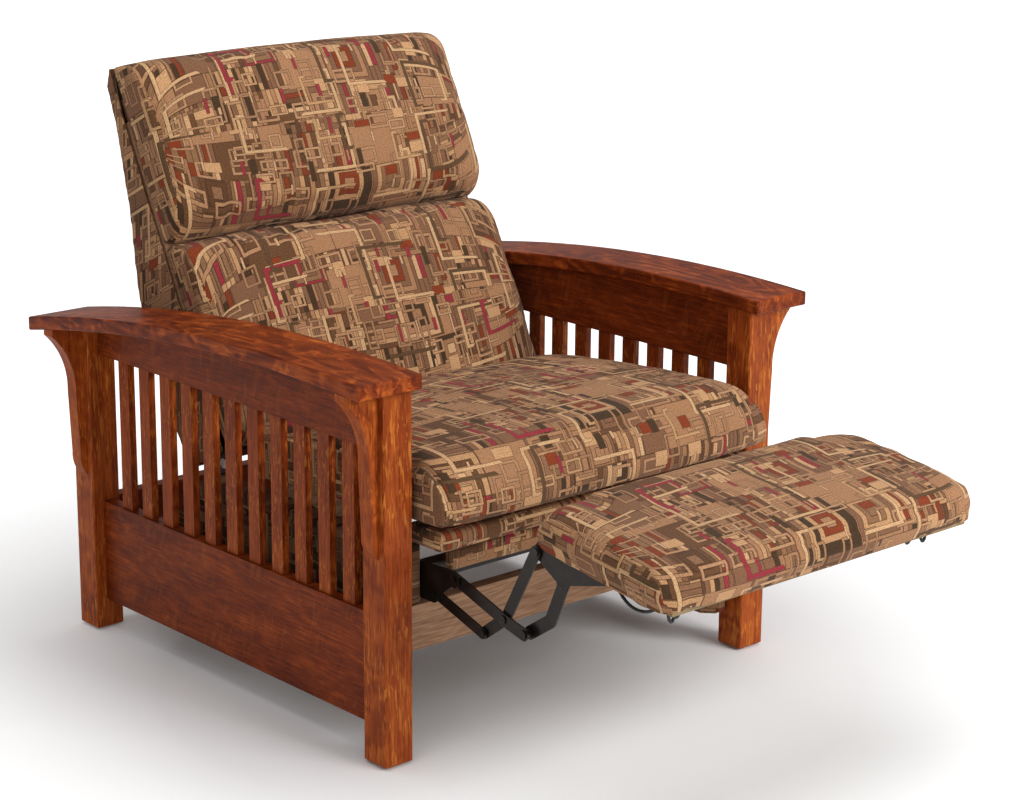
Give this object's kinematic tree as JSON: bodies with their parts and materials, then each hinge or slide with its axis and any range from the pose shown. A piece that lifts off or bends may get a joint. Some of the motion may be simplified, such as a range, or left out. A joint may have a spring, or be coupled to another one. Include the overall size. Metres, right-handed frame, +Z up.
{
  "type": "mission reclining armchair",
  "caption": "Slatted oak armchair with bowed arms, upholstered seat, a back that reclines on hinge pins and a footrest that folds out on a steel linkage.",
  "frame": {"origin": "middle of the chair's box with the footrest out, on the floor", "axes": "+X to the sitter's left, +Y to the rear, +Z up; the sitter faces -Y"},
  "size_m": [0.902, 1.3306, 0.9434],
  "materials": {
    "stained_oak": "satin lacquer",
    "patchwork_fabric": "woven",
    "backing_cloth": "plain weave",
    "plain_timber": "unfinished",
    "black_steel": "satin black",
    "bright_steel": "zinc",
    "spring_steel": "oiled",
    "black_elastic": "matte",
    "nylon": "matte"
  },
  "bodies": {
    "root": {"arm_right": "stained_oak", "front_post_right": "stained_oak", "rear_post_right": "stained_oak", "top_side_rail_right": "stained_oak", "bottom_side_rail_right": "stained_oak", "side_slats_right": "stained_oak", "front_corbel_right": "stained_oak", "rear_corbel_right": "stained_oak", "arm_left": "stained_oak", "front_post_left": "stained_oak", "rear_post_left": "stained_oak", "top_side_rail_left": "stained_oak", "bottom_side_rail_left": "stained_oak", "side_slats_left": "stained_oak", "front_corbel_left": "stained_oak", "rear_corbel_left": "stained_oak", "arm_dowels": "plain_timber", "rear_stretcher": "stained_oak", "floor_glides": "nylon", "seat_side_board_right": "patchwork_fabric", "seat_side_board_left": "patchwork_fabric", "mounting_cleats": "plain_timber", "unit_bolts": "bright_steel", "padded_front_rail": "patchwork_fabric", "front_apron": "patchwork_fabric", "base_cross_rail": "plain_timber", "seat_rear_rail": "plain_timber", "seat_springs": "spring_steel", "seat_deck": "backing_cloth", "seat_cushion": "patchwork_fabric", "back_hinge_plates": "black_steel", "back_hinge_pins": "bright_steel", "mechanism_plate_right": "black_steel", "mechanism_plate_left": "black_steel", "cross_brace": "black_steel", "base_rivets": "bright_steel"},
    "back": {"back_frame": "plain_timber", "back_side_panels": "plain_timber", "back_springs": "spring_steel", "back_cover": "patchwork_fabric", "lumbar_cushion": "patchwork_fabric", "headrest_pillow": "patchwork_fabric", "back_hinge_straps": "black_steel"},
    "main_links": {"main_link_right": "black_steel", "main_link_left": "black_steel"},
    "follower_links": {"follower_link_right": "black_steel", "follower_link_left": "black_steel"},
    "cross_links": {"cross_link_right": "black_steel", "cross_link_left": "black_steel", "cross_link_rivets": "bright_steel"},
    "outer_links": {"outer_link_right": "black_steel", "outer_link_left": "black_steel", "outer_link_rivets": "bright_steel"},
    "footrest": {"footrest_bracket_right": "black_steel", "footrest_bracket_left": "black_steel", "footrest_board": "plain_timber", "footrest_pad": "patchwork_fabric", "footrest_underside_cover": "backing_cloth", "footrest_elastic": "black_elastic", "bracket_rivets": "bright_steel"}
  },
  "joints": [
    {"name": "back_recline", "type": "hinge", "parent": "root", "child": "back", "pos_m": [0, 0.33328, 0.33], "axis": [-1, 0, 0], "range_deg": [-10, 15]},
    {"name": "footrest_fold", "type": "hinge", "parent": "root", "child": "main_links", "pos_m": [0, -0.21122, 0.2825], "axis": [1, 0, 0], "range_deg": [0, 104]},
    {"name": "follower_swing", "type": "hinge", "parent": "root", "child": "follower_links", "pos_m": [0, -0.16642, 0.2488], "axis": [1, 0, 0], "range_deg": [0, 104.2]},
    {"name": "cross_swing", "type": "hinge", "parent": "main_links", "child": "cross_links", "pos_m": [0, -0.31412, 0.2499], "axis": [1, 0, 0], "range_deg": [-105.85, 0]},
    {"name": "outer_swing", "type": "hinge", "parent": "main_links", "child": "outer_links", "pos_m": [0, -0.35642, 0.2398], "axis": [1, 0, 0], "range_deg": [-114.95, 0]},
    {"name": "footrest_swing", "type": "hinge", "parent": "cross_links", "child": "footrest", "pos_m": [0, -0.37502, 0.3645], "axis": [1, 0, 0], "range_deg": [0, 82.98]}
  ],
  "couplings": [
    {"joint": "follower_swing", "follows": "footrest_fold", "ratio": 0.9971},
    {"joint": "cross_swing", "follows": "footrest_fold", "ratio": -1.013},
    {"joint": "outer_swing", "follows": "footrest_fold", "ratio": -1.1005},
    {"joint": "footrest_swing", "follows": "footrest_fold", "ratio": 0.7931}
  ]
}
